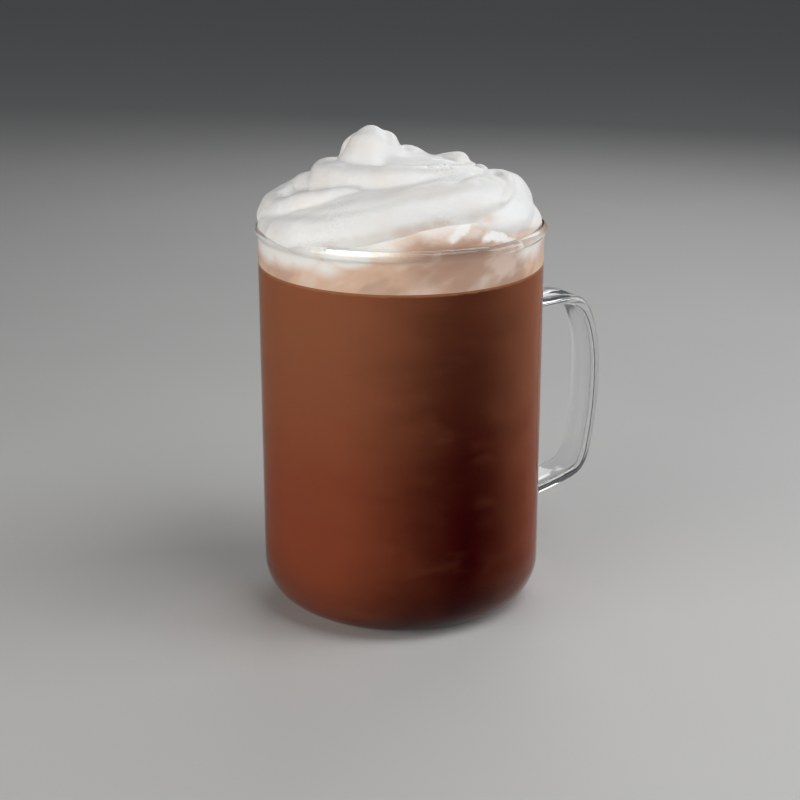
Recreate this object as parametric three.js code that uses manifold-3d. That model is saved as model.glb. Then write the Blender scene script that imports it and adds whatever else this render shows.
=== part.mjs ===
// A tall glass mug of caffe mocha: the brown drink, a layer of tan milk foam and a swirl of whipped cream.
// Millimetres, +Z up. The origin is the middle of the flat base, and the handle points along +X.
import * as THREE from "three";
import { mergeVertices } from "three/addons/utils/BufferGeometryUtils.js";
import Module from "manifold-3d";

const { degToRad, lerp, radToDeg } = THREE.MathUtils;
const wasm = await Module();
wasm.setup();

// The glass: a straight body with a round heel and a fire-polished bead at the rim
const MUG_HEIGHT = 115;
const BODY_RADIUS = 41.5;
const WALL = 2.3;
const BASE_THICKNESS = 4;
const HEEL_RADIUS = 13;
const BEAD_RADIUS = 1.5;

// The handle: a glass strap, fused to the wall at both ends by a small pad. EAR is the middle of the strap
// as distance from the axis and height, out along the arm, down the grip and back along the foot.
const STRAP_WIDTH = 12.5;
const STRAP_THICKNESS = 3.2;
const ARM_ROOT_HEIGHT = 86.1;
const FOOT_ROOT_HEIGHT = 24.6;
const EAR = [
  [54, 86.5],
  [61.3, 83.2],
  [65, 73],
  [65.9, 60],
  [64.6, 44],
  [61.6, 32.4],
  [54.6, 28.3],
];
const PAD = { depth: 4.4, width: 15, height: 7.5 };

// The fill levels, and the clearance left between neighbouring pieces
const MOCHA_LEVEL = 102.8;
const FOAM_LEVEL = 113;
const GAP = 0.3;

// The cream is piped in coils on a round core, and a melted collar of foam swells over the rim below it.
// SWIRL_TURN is the line that the coils' angles are counted from, itself counted from the handle. Each coil
// turns round its own middle, and its evenly spaced stations give the distance from there, the height over
// the rim and the half thickness.
const SWIRL_TURN = -28;
const COILS = {
  front: {
    middle: [0, 0],
    turn: [172, 420],
    stations: [
      [35.4, -0.3, 5.7],
      [32, 5.2, 7.2],
      [29.5, 10, 7.8],
      [27, 4.8, 10.8],
      [27, 2, 7.5],
    ],
  },
  back: {
    middle: [0, 0],
    turn: [385, 610],
    stations: [
      [26.5, 5.5, 8.5],
      [28.5, 4.5, 8.3],
      [31, 3.6, 7.6],
      [35.2, 4.4, 6.5],
      [26.5, 9.5, 5.8],
    ],
  },
  second: {
    middle: [-3, 0],
    turn: [90, 450],
    stations: [
      [16, 11, 7],
      [18, 11, 7],
      [18, 13.5, 7],
      [17, 13.2, 7],
      [14, 9.5, 7],
    ],
  },
  inner: {
    middle: [-4, 0],
    turn: [370, 560],
    stations: [
      [12, 11.5, 6.5],
      [9.5, 14, 6.5],
      [7.5, 16, 6],
    ],
  },
  top: {
    middle: [-8, 0],
    turn: [60, 420],
    stations: [
      [5, 15, 7],
      [4.2, 18.2, 7.4],
      [3.2, 20.4, 6.6],
      [-1.5, 26.3, 3.2],
    ],
  },
  curl: {
    middle: [-3, 0],
    turn: [-30, 40],
    stations: [
      [17, 14, 5],
      [19, 15.5, 4.5],
      [19, 14, 4],
    ],
  },
};
const COLLAR = {
  middle: [0, 0],
  turn: [232, 430],
  stations: [
    [32.5, -3.5, 5.6],
    [32, -1, 6.5],
    [32, 0.5, 7],
    [31, -1.5, 6],
    [35, 1.3, 6.6],
    [34.5, 0, 6.4],
    [33, -3, 5.5],
  ],
};
const CORE = { radius: 31, height: 20 };

// How fine the round faces are: sides and steps by count, and the length of one step along a coil
const ROUND_SIDES = 60;
const ARC_STEPS = 6;
const STRAP_STEPS = 44;
const STRAP_EDGE_STEPS = 5;
const COIL_SIDES = 16;
const COIL_STEP = 4;
const CAP_RINGS = 4;

const UP = new THREE.Vector3(0, 0, 1);
const QUARTER_TURN = Math.PI / 2;
const MERGE_DISTANCE = 1e-4;
const INNER_RADIUS = BODY_RADIUS - WALL;
const INNER_HEEL = HEEL_RADIUS - WALL;

// Points on an arc round a centre, from one angle to another in degrees.
function arc([x, y], radius, from, to) {
  return Array.from({ length: ARC_STEPS + 1 }, (_, i) => {
    const angle = degToRad(lerp(from, to, i / ARC_STEPS));
    return [x + radius * Math.cos(angle), y + radius * Math.sin(angle)];
  });
}

// A closed geometry as a solid that can be joined and cut.
function solid(geometry) {
  const bare = geometry.clone().deleteAttribute("normal").deleteAttribute("uv");
  const { attributes, index } = mergeVertices(bare, MERGE_DISTANCE);
  const mesh = { numProp: 3, vertProperties: attributes.position.array, triVerts: new Uint32Array(index.array) };
  return new wasm.Manifold(new wasm.Mesh(mesh));
}

// A solid back as a geometry.
function geometryOf(body) {
  const { vertProperties, triVerts } = body.getMesh();
  const geometry = new THREE.BufferGeometry()
    .setAttribute("position", new THREE.BufferAttribute(vertProperties, 3))
    .setIndex(new THREE.BufferAttribute(triVerts, 1));
  geometry.computeVertexNormals();
  return geometry;
}

// A round solid from its outline, as pairs of distance from the axis and height.
function turned(outline) {
  const points = outline.map(([distance, height]) => new THREE.Vector2(distance, height));
  return solid(new THREE.LatheGeometry(points, ROUND_SIDES).rotateX(QUARTER_TURN));
}

// An upright round solid with flat ends.
function disc(radius, floor, top) {
  return turned([
    [0, floor],
    [radius, floor],
    [radius, top],
    [0, top],
  ]);
}

// A ball scaled to an egg of the given half sizes.
function egg(halves, place, sides) {
  return solid(
    new THREE.SphereGeometry(1, sides, sides / 2)
      .rotateX(QUARTER_TURN)
      .scale(...halves)
      .translate(...place),
  );
}

// The middle line of a coil, with its half thickness along the way.
class CoilPath extends THREE.Curve {
  constructor({ middle, turn, stations }) {
    super();
    this.middle = middle;
    this.turn = turn;
    this.sizes = new THREE.CatmullRomCurve3(stations.map((station) => new THREE.Vector3(...station)));
  }

  getPoint(t, target = new THREE.Vector3()) {
    const [x, y] = this.middle;
    const { x: reach, y: height } = this.sizes.getPoint(t);
    const angle = degToRad(lerp(...this.turn, t));
    return target
      .set(x + reach * Math.cos(angle), y + reach * Math.sin(angle), MUG_HEIGHT + height)
      .applyAxisAngle(UP, degToRad(SWIRL_TURN));
  }

  girth(t) {
    return this.sizes.getPoint(t).z;
  }
}

// The outline of a straight rod with round ends, as long as 1 and as thick as 1.
function rodOutline(path) {
  const length = path.getLength();
  const first = path.girth(0) / length;
  const last = path.girth(1) / length;
  const steps = Math.round(length / COIL_STEP);
  const lifts = Array.from({ length: CAP_RINGS }, (_, i) => (i / CAP_RINGS) * QUARTER_TURN);
  return [
    ...lifts.map((lift) => [Math.sin(lift), first * (1 - Math.cos(lift))]),
    ...Array.from({ length: steps + 1 }, (_, i) => [1, lerp(first, 1 - last, i / steps)]),
    ...lifts.map((lift) => [Math.sin(lift), 1 - last * (1 - Math.cos(lift))]).reverse(),
  ].map(([radius, along]) => new THREE.Vector2(radius, along));
}

// One piped coil: a rod bent along its path, swollen on all sides where a cut needs clearance.
function coil(sizes, swell = 0) {
  const path = new CoilPath(sizes);
  const rod = new THREE.LatheGeometry(rodOutline(path), COIL_SIDES);
  const spots = rod.attributes.position;
  for (let i = 0; i < spots.count; i++) {
    const along = spots.getY(i);
    const ahead = path.getTangent(along);
    const side = ahead.clone().cross(UP).normalize();
    const over = side.clone().cross(ahead);
    const girth = path.girth(along) + swell;
    const spot = path
      .getPoint(along)
      .addScaledVector(side, spots.getX(i) * girth)
      .addScaledVector(over, spots.getZ(i) * girth);
    spots.setXYZ(i, spot.x, spot.y, spot.z);
  }
  return solid(rod);
}

// The glass body, from the middle of the base round the outside and the rim to the floor inside.
function glassBody() {
  const bead = [INNER_RADIUS + BEAD_RADIUS, MUG_HEIGHT - BEAD_RADIUS];
  const beadStart = -radToDeg(Math.acos((BODY_RADIUS - bead[0]) / BEAD_RADIUS));
  return turned([
    [0, 0],
    ...arc([BODY_RADIUS - HEEL_RADIUS, HEEL_RADIUS], HEEL_RADIUS, -90, 0),
    ...arc(bead, BEAD_RADIUS, beadStart, 180),
    ...arc([INNER_RADIUS - INNER_HEEL, BASE_THICKNESS + INNER_HEEL], INNER_HEEL, 0, -90),
    [0, BASE_THICKNESS],
  ]);
}

// The strap's section, flat with round edges: x is the width and y the thickness.
function strapSection() {
  const half = STRAP_THICKNESS / 2;
  const edge = STRAP_WIDTH / 2 - half;
  return new THREE.Shape()
    .absarc(edge, 0, half, -QUARTER_TURN, QUARTER_TURN)
    .absarc(-edge, 0, half, QUARTER_TURN, 3 * QUARTER_TURN);
}

// The handle: the strap along its ear and the pads, trimmed so that nothing stands inside the glass.
function handle() {
  const root = BODY_RADIUS - WALL / 2;
  const line = [[root, ARM_ROOT_HEIGHT], ...EAR, [root, FOOT_ROOT_HEIGHT]];
  const ear = new THREE.CatmullRomCurve3(
    line.map(([reach, height]) => new THREE.Vector3(reach, 0, height)),
    false,
    "centripetal",
  );
  const strap = new THREE.ExtrudeGeometry(strapSection(), {
    extrudePath: ear,
    steps: STRAP_STEPS,
    curveSegments: STRAP_EDGE_STEPS,
  });
  const padHalves = [PAD.depth / 2, PAD.width / 2, PAD.height / 2];
  const pads = [ARM_ROOT_HEIGHT, FOOT_ROOT_HEIGHT].map((height) => egg(padHalves, [BODY_RADIUS, 0, height], 20));
  const joined = pads.reduce((body, pad) => body.add(pad), solid(strap));
  return joined.subtract(disc(BODY_RADIUS - WALL / 2, 0, MUG_HEIGHT));
}

// The drink, with its round foot following the glass.
function mocha() {
  const radius = INNER_RADIUS - GAP;
  const heel = INNER_HEEL - GAP;
  const floor = BASE_THICKNESS + GAP;
  return turned([
    [0, floor],
    ...arc([radius - heel, floor + heel], heel, -90, 0),
    [radius, MOCHA_LEVEL],
    [0, MOCHA_LEVEL],
  ]);
}

// What the glass leaves no room for: all outside a bore and under the rim's top, and all below a floor.
function rimZone(bore, floor) {
  const outside = BODY_RADIUS * 2;
  const top = MUG_HEIGHT + GAP;
  return turned([
    [0, floor - BODY_RADIUS],
    [outside, floor - BODY_RADIUS],
    [outside, top],
    [bore, top],
    [bore, floor],
    [0, floor],
  ]);
}

// The foam: a disc on the drink and the collar that swells over the rim on one side.
function foam() {
  const radius = INNER_RADIUS - GAP;
  const floor = MOCHA_LEVEL + GAP;
  const collar = coil(COLLAR).subtract(rimZone(radius - GAP, floor));
  return disc(radius, floor, FOAM_LEVEL).add(collar);
}

// The whipped cream: the coils on their core, set on the foam, the collar and the rim.
function cream() {
  const core = egg([CORE.radius, CORE.radius, CORE.height], [0, 0, MUG_HEIGHT], 32);
  const heap = Object.values(COILS).reduce((body, sizes) => body.add(coil(sizes)), core);
  return heap.subtract(rimZone(INNER_RADIUS - GAP, FOAM_LEVEL + GAP)).subtract(coil(COLLAR, GAP));
}

// A named mesh of one finish.
function piece(name, body, color, roughness, look = {}) {
  const finish = new THREE.MeshStandardMaterial({ color, roughness, metalness: 0, ...look });
  const mesh = new THREE.Mesh(geometryOf(body), finish);
  mesh.name = name;
  return mesh;
}

const drink = new THREE.Group();
drink.add(
  piece("glass_mug", glassBody().add(handle()), "#e8f0ee", 0.03, { transparent: true, opacity: 0.3 }),
  piece("mocha", mocha(), "#6e4430", 0.35),
  piece("milk_foam", foam(), "#c9a68c", 0.6),
  piece("whipped_cream", cream(), "#eeebe6", 0.55),
);

export default drink;
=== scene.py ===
"""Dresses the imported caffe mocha: a clear glass mug, the brown drink, tan milk foam and whipped cream.

Sizes are in millimetres, in the part's own frame: +Z up, the middle of the base at the origin and the
handle along +X. Angles on the drink are degrees in the swirl's frame, where 0 is the viewer's right,
90 is away from the viewer, 180 is left and 270 is the front. Blender's metres come in where a mesh, a
light or the camera is made.
"""

from __future__ import annotations

import logging
import math
from dataclasses import dataclass
from enum import Enum
from typing import Any, Callable, Iterable, Sequence

import bpy
from mathutils import Matrix, Vector

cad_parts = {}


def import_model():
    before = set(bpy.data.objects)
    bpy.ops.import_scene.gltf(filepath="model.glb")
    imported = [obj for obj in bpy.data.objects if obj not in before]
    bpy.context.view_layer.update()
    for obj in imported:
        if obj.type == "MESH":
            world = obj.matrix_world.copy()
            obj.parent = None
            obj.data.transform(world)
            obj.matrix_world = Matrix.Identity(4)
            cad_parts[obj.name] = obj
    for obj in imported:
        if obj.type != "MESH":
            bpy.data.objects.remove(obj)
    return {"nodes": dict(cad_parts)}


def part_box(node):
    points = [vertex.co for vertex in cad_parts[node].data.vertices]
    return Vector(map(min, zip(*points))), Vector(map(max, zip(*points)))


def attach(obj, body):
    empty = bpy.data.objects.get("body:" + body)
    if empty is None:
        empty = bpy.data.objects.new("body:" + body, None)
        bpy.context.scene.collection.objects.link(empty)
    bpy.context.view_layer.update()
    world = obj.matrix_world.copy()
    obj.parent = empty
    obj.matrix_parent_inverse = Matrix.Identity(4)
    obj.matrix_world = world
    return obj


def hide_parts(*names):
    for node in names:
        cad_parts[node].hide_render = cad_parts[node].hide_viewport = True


log = logging.getLogger("mocha")

MM = 0.001
BODY = "root"
PHOTO_WIDTH = 800
PHOTO_AZIMUTH = -28
SWIRL_TURN = math.radians(PHOTO_AZIMUTH)
RIM = 115.0
# Vertices this close are welded, and what lies within a sliver of a middle line is on it
WELD = 0.002
SLIVER = 0.01
# How far one round of smoothing moves a vertex to the middle of those next to it
SMOOTHING = 0.5
# The spans of a path or a circle as Blender adds it
CURVE_SPANS = 4

Pair = tuple[float, float]
Triple = tuple[float, float, float]
Quad = tuple[float, float, float, float]
Rgba = Quad
Piece = bpy.types.Object
Material = bpy.types.Material
Inputs = dict[str | int, Any]
Station = tuple[Vector, float]
Milk = tuple[float, Triple, float]


class Node(Enum):
    """The shader nodes that the finishes use."""

    COORDINATES = "ShaderNodeTexCoord"
    MAPPING = "ShaderNodeMapping"
    SPLIT = "ShaderNodeSeparateXYZ"
    MATH = "ShaderNodeMath"
    VECTOR_MATH = "ShaderNodeVectorMath"
    RANGE = "ShaderNodeMapRange"
    NOISE = "ShaderNodeTexNoise"
    CELLS = "ShaderNodeTexVoronoi"
    MIX = "ShaderNodeMix"
    BUMP = "ShaderNodeBump"
    PRINCIPLED = "ShaderNodeBsdfPrincipled"
    MIX_SHADER = "ShaderNodeMixShader"
    OUTPUT = "ShaderNodeOutputMaterial"


class Tool(Enum):
    """The modifiers that finish the pieces."""

    REMESH = "REMESH"
    SMOOTH = "SMOOTH"
    DISPLACE = "DISPLACE"
    BOOLEAN = "BOOLEAN"


class Join(Enum):
    """How a Boolean joins a second mesh to a first one."""

    ADD = "UNION"
    CUT = "DIFFERENCE"


def linear(level: int) -> float:
    """One level from 0 to 255 of a screen colour as linear light, by the usual screen curve."""
    share = level / 255
    return share / 12.92 if share <= 0.04045 else ((share + 0.055) / 1.055) ** 2.4


def screen(red: int, green: int, blue: int) -> Rgba:
    """A screen colour of levels from 0 to 255 as a linear one with full alpha."""
    return linear(red), linear(green), linear(blue), 1.0


def spline(points: Sequence[Sequence[float]], share: float) -> list[float]:
    """Follows evenly spaced points on a Catmull-Rom curve.

    Args:
        points: The points, each a row of numbers.
        share: How far along, from 0 to 1.

    Returns:
        The row of numbers there.
    """
    first = [2 * a - b for a, b in zip(points[0], points[1])]
    last = [2 * a - b for a, b in zip(points[-1], points[-2])]
    rows = [first, *points, last]
    spans = len(points) - 1
    span = min(int(share * spans), spans - 1)
    part = share * spans - span
    found = []
    for before, start, end, after in zip(*rows[span : span + 4]):
        bend = 2 * before - 5 * start + 4 * end - after
        twist = 3 * (start - end) + after - before
        found.append(start + part / 2 * (end - before + part * (bend + part * twist)))
    return found


def arc(middle: Pair, radius: float, turn: Pair, steps: int) -> list[Pair]:
    """Points on an arc from the first to the last angle of a turn in degrees, both ends included."""
    angles = [math.radians(turn[0] + (turn[1] - turn[0]) * i / steps) for i in range(steps + 1)]
    return [(middle[0] + radius * math.cos(a), middle[1] + radius * math.sin(a)) for a in angles]


def seen(right: float, away: float, height: float) -> Vector:
    """A place to the right of and behind the axis and over the rim, in the part's frame and in mm."""
    return Matrix.Rotation(SWIRL_TURN, 3, "Z") @ Vector((right, away, RIM + height))


def around(angle: float, reach: float, height: float) -> Vector:
    """A place on the drink by its angle, its distance from the axis and its height over the rim."""
    turn = math.radians(angle)
    return seen(reach * math.cos(turn), reach * math.sin(turn), height)


class Field:
    """A shader value that takes part in Python sums, each of which adds its Math node."""

    def __init__(self, graph: Graph, socket: bpy.types.NodeSocket) -> None:
        """Wraps one output socket of a graph."""
        self.graph = graph
        self.socket = socket

    def __add__(self, other: Field | float) -> Field:
        """This value plus another."""
        return self.graph.math("ADD", self, other)

    def __radd__(self, other: float) -> Field:
        """A number plus this value."""
        return self.graph.math("ADD", other, self)

    def __sub__(self, other: Field | float) -> Field:
        """This value less another."""
        return self.graph.math("SUBTRACT", self, other)

    def __rsub__(self, other: float) -> Field:
        """A number less this value."""
        return self.graph.math("SUBTRACT", other, self)

    def __mul__(self, other: Field | float) -> Field:
        """This value times another."""
        return self.graph.math("MULTIPLY", self, other)

    def __rmul__(self, other: float) -> Field:
        """A number times this value."""
        return self.graph.math("MULTIPLY", other, self)

    def __or__(self, other: Field | float) -> Field:
        """The larger of two masks."""
        return self.graph.math("MAXIMUM", self, other)

    def __ror__(self, other: float) -> Field:
        """The larger of a number and this mask."""
        return self.graph.math("MAXIMUM", other, self)

    def step(self, low: float, high: float) -> Field:
        """A soft step of this value from 0 at low to 1 at high, which may lie below low."""
        ends = {"Value": self, "From Min": low, "From Max": high}
        return self.graph.node(Node.RANGE, {"interpolation_type": "SMOOTHSTEP"}, ends)

    def band(self, low: float, high: float, share: float) -> Field:
        """A soft step that only reaches this share."""
        return self.step(low, high) * share

    def swing(self, width: float) -> Field:
        """A value from 0 to 1 as a swing of this width round 0."""
        return self * width - width / 2

    def between(self, low: float, high: float) -> Field:
        """A value from 0 to 1 as one from low to high."""
        return self * (high - low) + low


@dataclass(frozen=True)
class Spot:
    """A soft round patch on the drink: its place as in around(), how far out it is full and gone."""

    angle: float
    reach: float
    height: float
    full: float
    gone: float


@dataclass(frozen=True)
class Smear:
    """A stroke on the drink between two places as in around(), and how far out it is full and gone."""

    start: Triple
    end: Triple
    full: float
    gone: float


class Graph:
    """The node tree of one material."""

    def __init__(self, name: str) -> None:
        """Starts an empty material.

        Args:
            name: The material's name.
        """
        self.material = bpy.data.materials.new(name)
        self.material.use_nodes = True
        self.tree = self.material.node_tree
        self.tree.nodes.clear()

    def _made(self, kind: Node, settings: Inputs | None, values: Inputs | None) -> bpy.types.Node:
        """Makes a node.

        Args:
            kind: The node's type.
            settings: Its own properties, which are set first.
            values: Numbers, colours or links of its inputs, by name or place.

        Returns:
            The node.
        """
        made = self.tree.nodes.new(kind.value)
        for name, value in (settings or {}).items():
            setattr(made, name, value)
        for name, value in (values or {}).items():
            if isinstance(value, Field):
                self.tree.links.new(value.socket, made.inputs[name])
            else:
                made.inputs[name].default_value = value
        return made

    def node(
        self,
        kind: Node,
        settings: Inputs | None = None,
        values: Inputs | None = None,
        output: str | int = 0,
    ) -> Field:
        """Adds a node as _made() does, and gives one of its outputs."""
        return Field(self, self._made(kind, settings, values).outputs[output])

    def math(self, operation: str, first: Field | float, second: Field | float) -> Field:
        """Adds a Math node of two values."""
        return self.node(Node.MATH, {"operation": operation}, {0: first, 1: second})

    def vector(
        self, operation: str, first: Field | Vector, second: Field | Vector, output: str = "Vector"
    ) -> Field:
        """Adds a Vector Math node of two places."""
        return self.node(Node.VECTOR_MATH, {"operation": operation}, {0: first, 1: second}, output)

    def place(self) -> Field:
        """The point on the piece in mm, in the part's frame."""
        point = self.node(Node.COORDINATES, output="Object")
        return self.node(Node.MAPPING, values={"Vector": point, "Scale": (1 / MM,) * 3})

    def height(self, point: Field) -> Field:
        """The height of a point."""
        return self.node(Node.SPLIT, values={"Vector": point}, output="Z")

    def reach(self, point: Field) -> Field:
        """The distance of a point from the axis."""
        flat = self.stretched(point, (1, 1, 0))
        return self.node(Node.VECTOR_MATH, {"operation": "LENGTH"}, {0: flat}, "Value")

    def noise(self, point: Field, size: float, detail: float = 3.0) -> Field:
        """Soft noise from 0 to 1, with lumps of about this size in mm."""
        values = {"Vector": point, "Scale": 1 / size, "Detail": detail}
        return self.node(Node.NOISE, values=values, output="Fac")

    def cells(self, point: Field, size: float) -> Field:
        """The distance from the middle of round cells of about this size in mm."""
        values = {"Vector": point, "Scale": 1 / size, "Smoothness": 0.4}
        return self.node(Node.CELLS, {"feature": "SMOOTH_F1"}, values, "Distance")

    def stretched(self, point: Field, scale: Triple) -> Field:
        """The point with its three axes scaled, to draw a pattern out along one of them."""
        return self.node(Node.MAPPING, values={"Vector": point, "Scale": scale})

    def drawn_out(self, point: Field, size: Triple, tilt: float) -> Field:
        """The point in axes drawn out by size, the first rising to the right, for slanting streaks."""
        values = {"Vector": point, "Rotation": (0.0, -math.radians(tilt), SWIRL_TURN), "Scale": size}
        return self.node(Node.MAPPING, {"vector_type": "TEXTURE"}, values)

    def patches(
        self, point: Field, spots: Iterable[Spot], ragged: Field, squeeze: float = 1.0
    ) -> Field:
        """A mask of several patches.

        Args:
            point: The place on the piece.
            spots: The patches.
            ragged: Millimetres added to every distance, to break the edges up.
            squeeze: How much less a height counts than a width, to draw the patches out upright.

        Returns:
            The mask, 1 inside any patch.
        """
        scale = Vector((1, 1, squeeze))
        drawn = self.stretched(point, scale)
        mask: Field | float = 0.0
        for spot in spots:
            middle = around(spot.angle, spot.reach, spot.height) * scale
            gap = self.vector("DISTANCE", drawn, middle, "Value")
            mask = (gap + ragged).step(spot.gone, spot.full) | mask
        return mask

    def strokes(self, point: Field, smears: Iterable[Smear], ragged: Field) -> Field:
        """A mask of several strokes.

        Args:
            point: The place on the piece.
            smears: The strokes.
            ragged: Millimetres added to every distance, to break the edges up.

        Returns:
            The mask, 1 inside any stroke.
        """
        mask: Field | float = 0.0
        for smear in smears:
            start = around(*smear.start)
            run = around(*smear.end) - start
            away = self.vector("SUBTRACT", point, start)
            along = self.vector("DOT_PRODUCT", away, run / run.length_squared, "Value")
            along = self.node(Node.MATH, {"operation": "ADD", "use_clamp": True}, {0: along, 1: 0.0})
            foot = self.node(Node.VECTOR_MATH, {"operation": "SCALE"}, {0: run, "Scale": along})
            gap = self.vector("DISTANCE", away, foot, "Value")
            mask = (gap + ragged).step(smear.gone, smear.full) | mask
        return mask

    def blend(self, mask: Field, under: Field | Rgba, over: Field | Rgba) -> Field:
        """Mixes two colours by a mask."""
        return self.node(Node.MIX, {"data_type": "RGBA"}, {0: mask, 6: under, 7: over}, 2)

    def bump(self, height: Field, depth: float, under: Field | None = None) -> Field:
        """The normal of a relief from 0 to 1 that stands out this far in mm, on another bent normal."""
        bent = {} if under is None else {"Normal": under}
        return self.node(Node.BUMP, values={"Height": height, "Distance": depth * MM, **bent})

    def shader(self, values: Inputs) -> Field:
        """Adds a Principled shader of these inputs."""
        return self.node(Node.PRINCIPLED, values=values)

    def close(self, shader: Field) -> Material:
        """Links a shader to the output."""
        self._made(Node.OUTPUT, None, {"Surface": shader})
        return self.material

    def surface(self, values: Inputs) -> Material:
        """Closes the material with a Principled shader of these inputs."""
        return self.close(self.shader(values))


def milky(weight: float, colours: Triple, scale: float) -> Inputs:
    """The shader's inputs for light that spreads below the surface, with its scale in mm."""
    return {"Subsurface Weight": weight, "Subsurface Radius": colours, "Subsurface Scale": scale * MM}


@dataclass(frozen=True)
class ClearGlass:
    """Pressed clear glass: colourless and polished, with a faint waviness.

    Where the drink wets the wall it has far less shine, so that the drink shows right up to the
    outline.
    """

    radius: float
    top: float
    tint: Rgba = (0.985, 0.995, 0.99, 1)
    index: float = 1.47
    heel_index: float = 1.37
    wetted_index: float = 1.08
    wetted_shine: float = 0.25
    fade: Pair = (9, 20)
    body_edge: Pair = (0.6, 0.3)
    top_edge: float = 1
    wave_flow: Triple = (1, 1, 0.5)
    wave_noise: Pair = (16, 1)
    wave_depth: float = 0.06

    def material(self) -> Material:
        """Builds the finish.

        Returns:
            The material.
        """
        graph = Graph("clear_glass")
        point = graph.place()
        waves = graph.noise(graph.stretched(point, self.wave_flow), *self.wave_noise)
        shared = {
            "Base Color": self.tint,
            "Roughness": 0.0,
            "Transmission Weight": 1.0,
            "Normal": graph.bump(waves, self.wave_depth),
        }
        dull = {**shared, "Specular Tint": (self.wetted_shine,) * 3 + (1.0,)}
        clear = graph.shader({**shared, "IOR": self.index})
        heel = graph.shader({**dull, "IOR": self.heel_index})
        wall = graph.shader({**dull, "IOR": self.wetted_index})
        height = graph.height(point)
        wetted = graph.node(Node.MIX_SHADER, values={0: height.step(*self.fade), 1: heel, 2: wall})
        outside, inside = self.body_edge
        on_body = graph.reach(point).step(self.radius + outside, self.radius + inside)
        on_body = on_body * height.step(self.top, self.top - self.top_edge)
        return graph.close(graph.node(Node.MIX_SHADER, values={0: on_body, 1: clear, 2: wetted}))


@dataclass(frozen=True)
class MochaBrown:
    """Milk chocolate and coffee: brown, darker low down, paler just under the foam, with dark streaks
    and pools that are painted shade at the front right and chocolate swirls round the back.
    """

    level: float
    upper: Rgba = screen(144, 87, 60)
    lower: Rgba = screen(134, 68, 45)
    # The dark colour of the streaks and pools: painted shade at the front right, chocolate swirls round
    # the back
    shade_and_swirl: Rgba = screen(50, 6, 6)
    edge: Rgba = screen(168, 112, 79)
    fade: Pair = (30, 90)
    fade_swing: float = 30
    flow: Triple = (1, 1, 2.2)
    flow_noise: Pair = (22, 4)
    wander: float = 10
    streak_squeeze: float = 0.12
    thinning: Triple = (30, 115, 0.2)
    pool_squeeze: float = 0.6
    pool_share: float = 0.85
    wisp_flow: Triple = (1, 1, 2.5)
    wisp_noise: Pair = (14, 4)
    wisp_band: Triple = (0.5, 0.75, 0.12)
    edge_depth: Pair = (1, 1 / 3)
    edge_share: float = 0.8
    ripple_size: float = 3
    ripple: float = 0.8
    roughness: Pair = (0.3, 0.5)
    milk: Milk = (0.2, (1, 0.4, 0.2), 1.5)
    # Dark streaks: the one at the front right is painted shade, those round the back are chocolate
    # swirls
    streaks: tuple[Spot, ...] = (
        Spot(298, 39, -80, 0, 38), Spot(70, 39, -70, 0, 26), Spot(150, 39, -95, 0, 32),
    )
    # Dark pools low down: the one at the front right is painted shade, the one at the back a chocolate
    # swirl
    pools: tuple[Spot, ...] = (
        Spot(287, 36, -114, 6, 34), Spot(100, 36, -112, 4, 30),
    )

    def material(self) -> Material:
        """Builds the finish.

        Returns:
            The material.
        """
        graph = Graph("mocha")
        point = graph.place()
        height = graph.height(point)
        drift = graph.noise(graph.stretched(point, self.flow), *self.flow_noise)
        risen = (height + drift.swing(self.fade_swing)).step(*self.fade)
        body = graph.blend(risen, self.lower, self.upper)
        wander = drift.swing(self.wander)
        # Painted shade at the front right and chocolate swirls round the back, in the streaks' dark
        # colour
        dark = graph.patches(point, self.streaks, wander, self.streak_squeeze)
        dark = dark * (1 - height.band(*self.thinning))
        dark = dark | graph.patches(point, self.pools, wander, self.pool_squeeze) * self.pool_share
        body = graph.blend(dark, body, self.shade_and_swirl)
        wisps = graph.noise(graph.stretched(point, self.wisp_flow), *self.wisp_noise)
        body = graph.blend(wisps.band(*self.wisp_band), body, self.upper)
        ripple = graph.noise(point, self.ripple_size).swing(self.ripple)
        deep, shallow = self.edge_depth
        rim = (height + ripple).step(self.level - deep, self.level - shallow)
        return graph.surface(
            {
                "Base Color": graph.blend(rim * self.edge_share, body, self.edge),
                "Roughness": drift.between(*self.roughness),
                "Specular IOR Level": 0.0,
                **milky(*self.milk),
            }
        )


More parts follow.
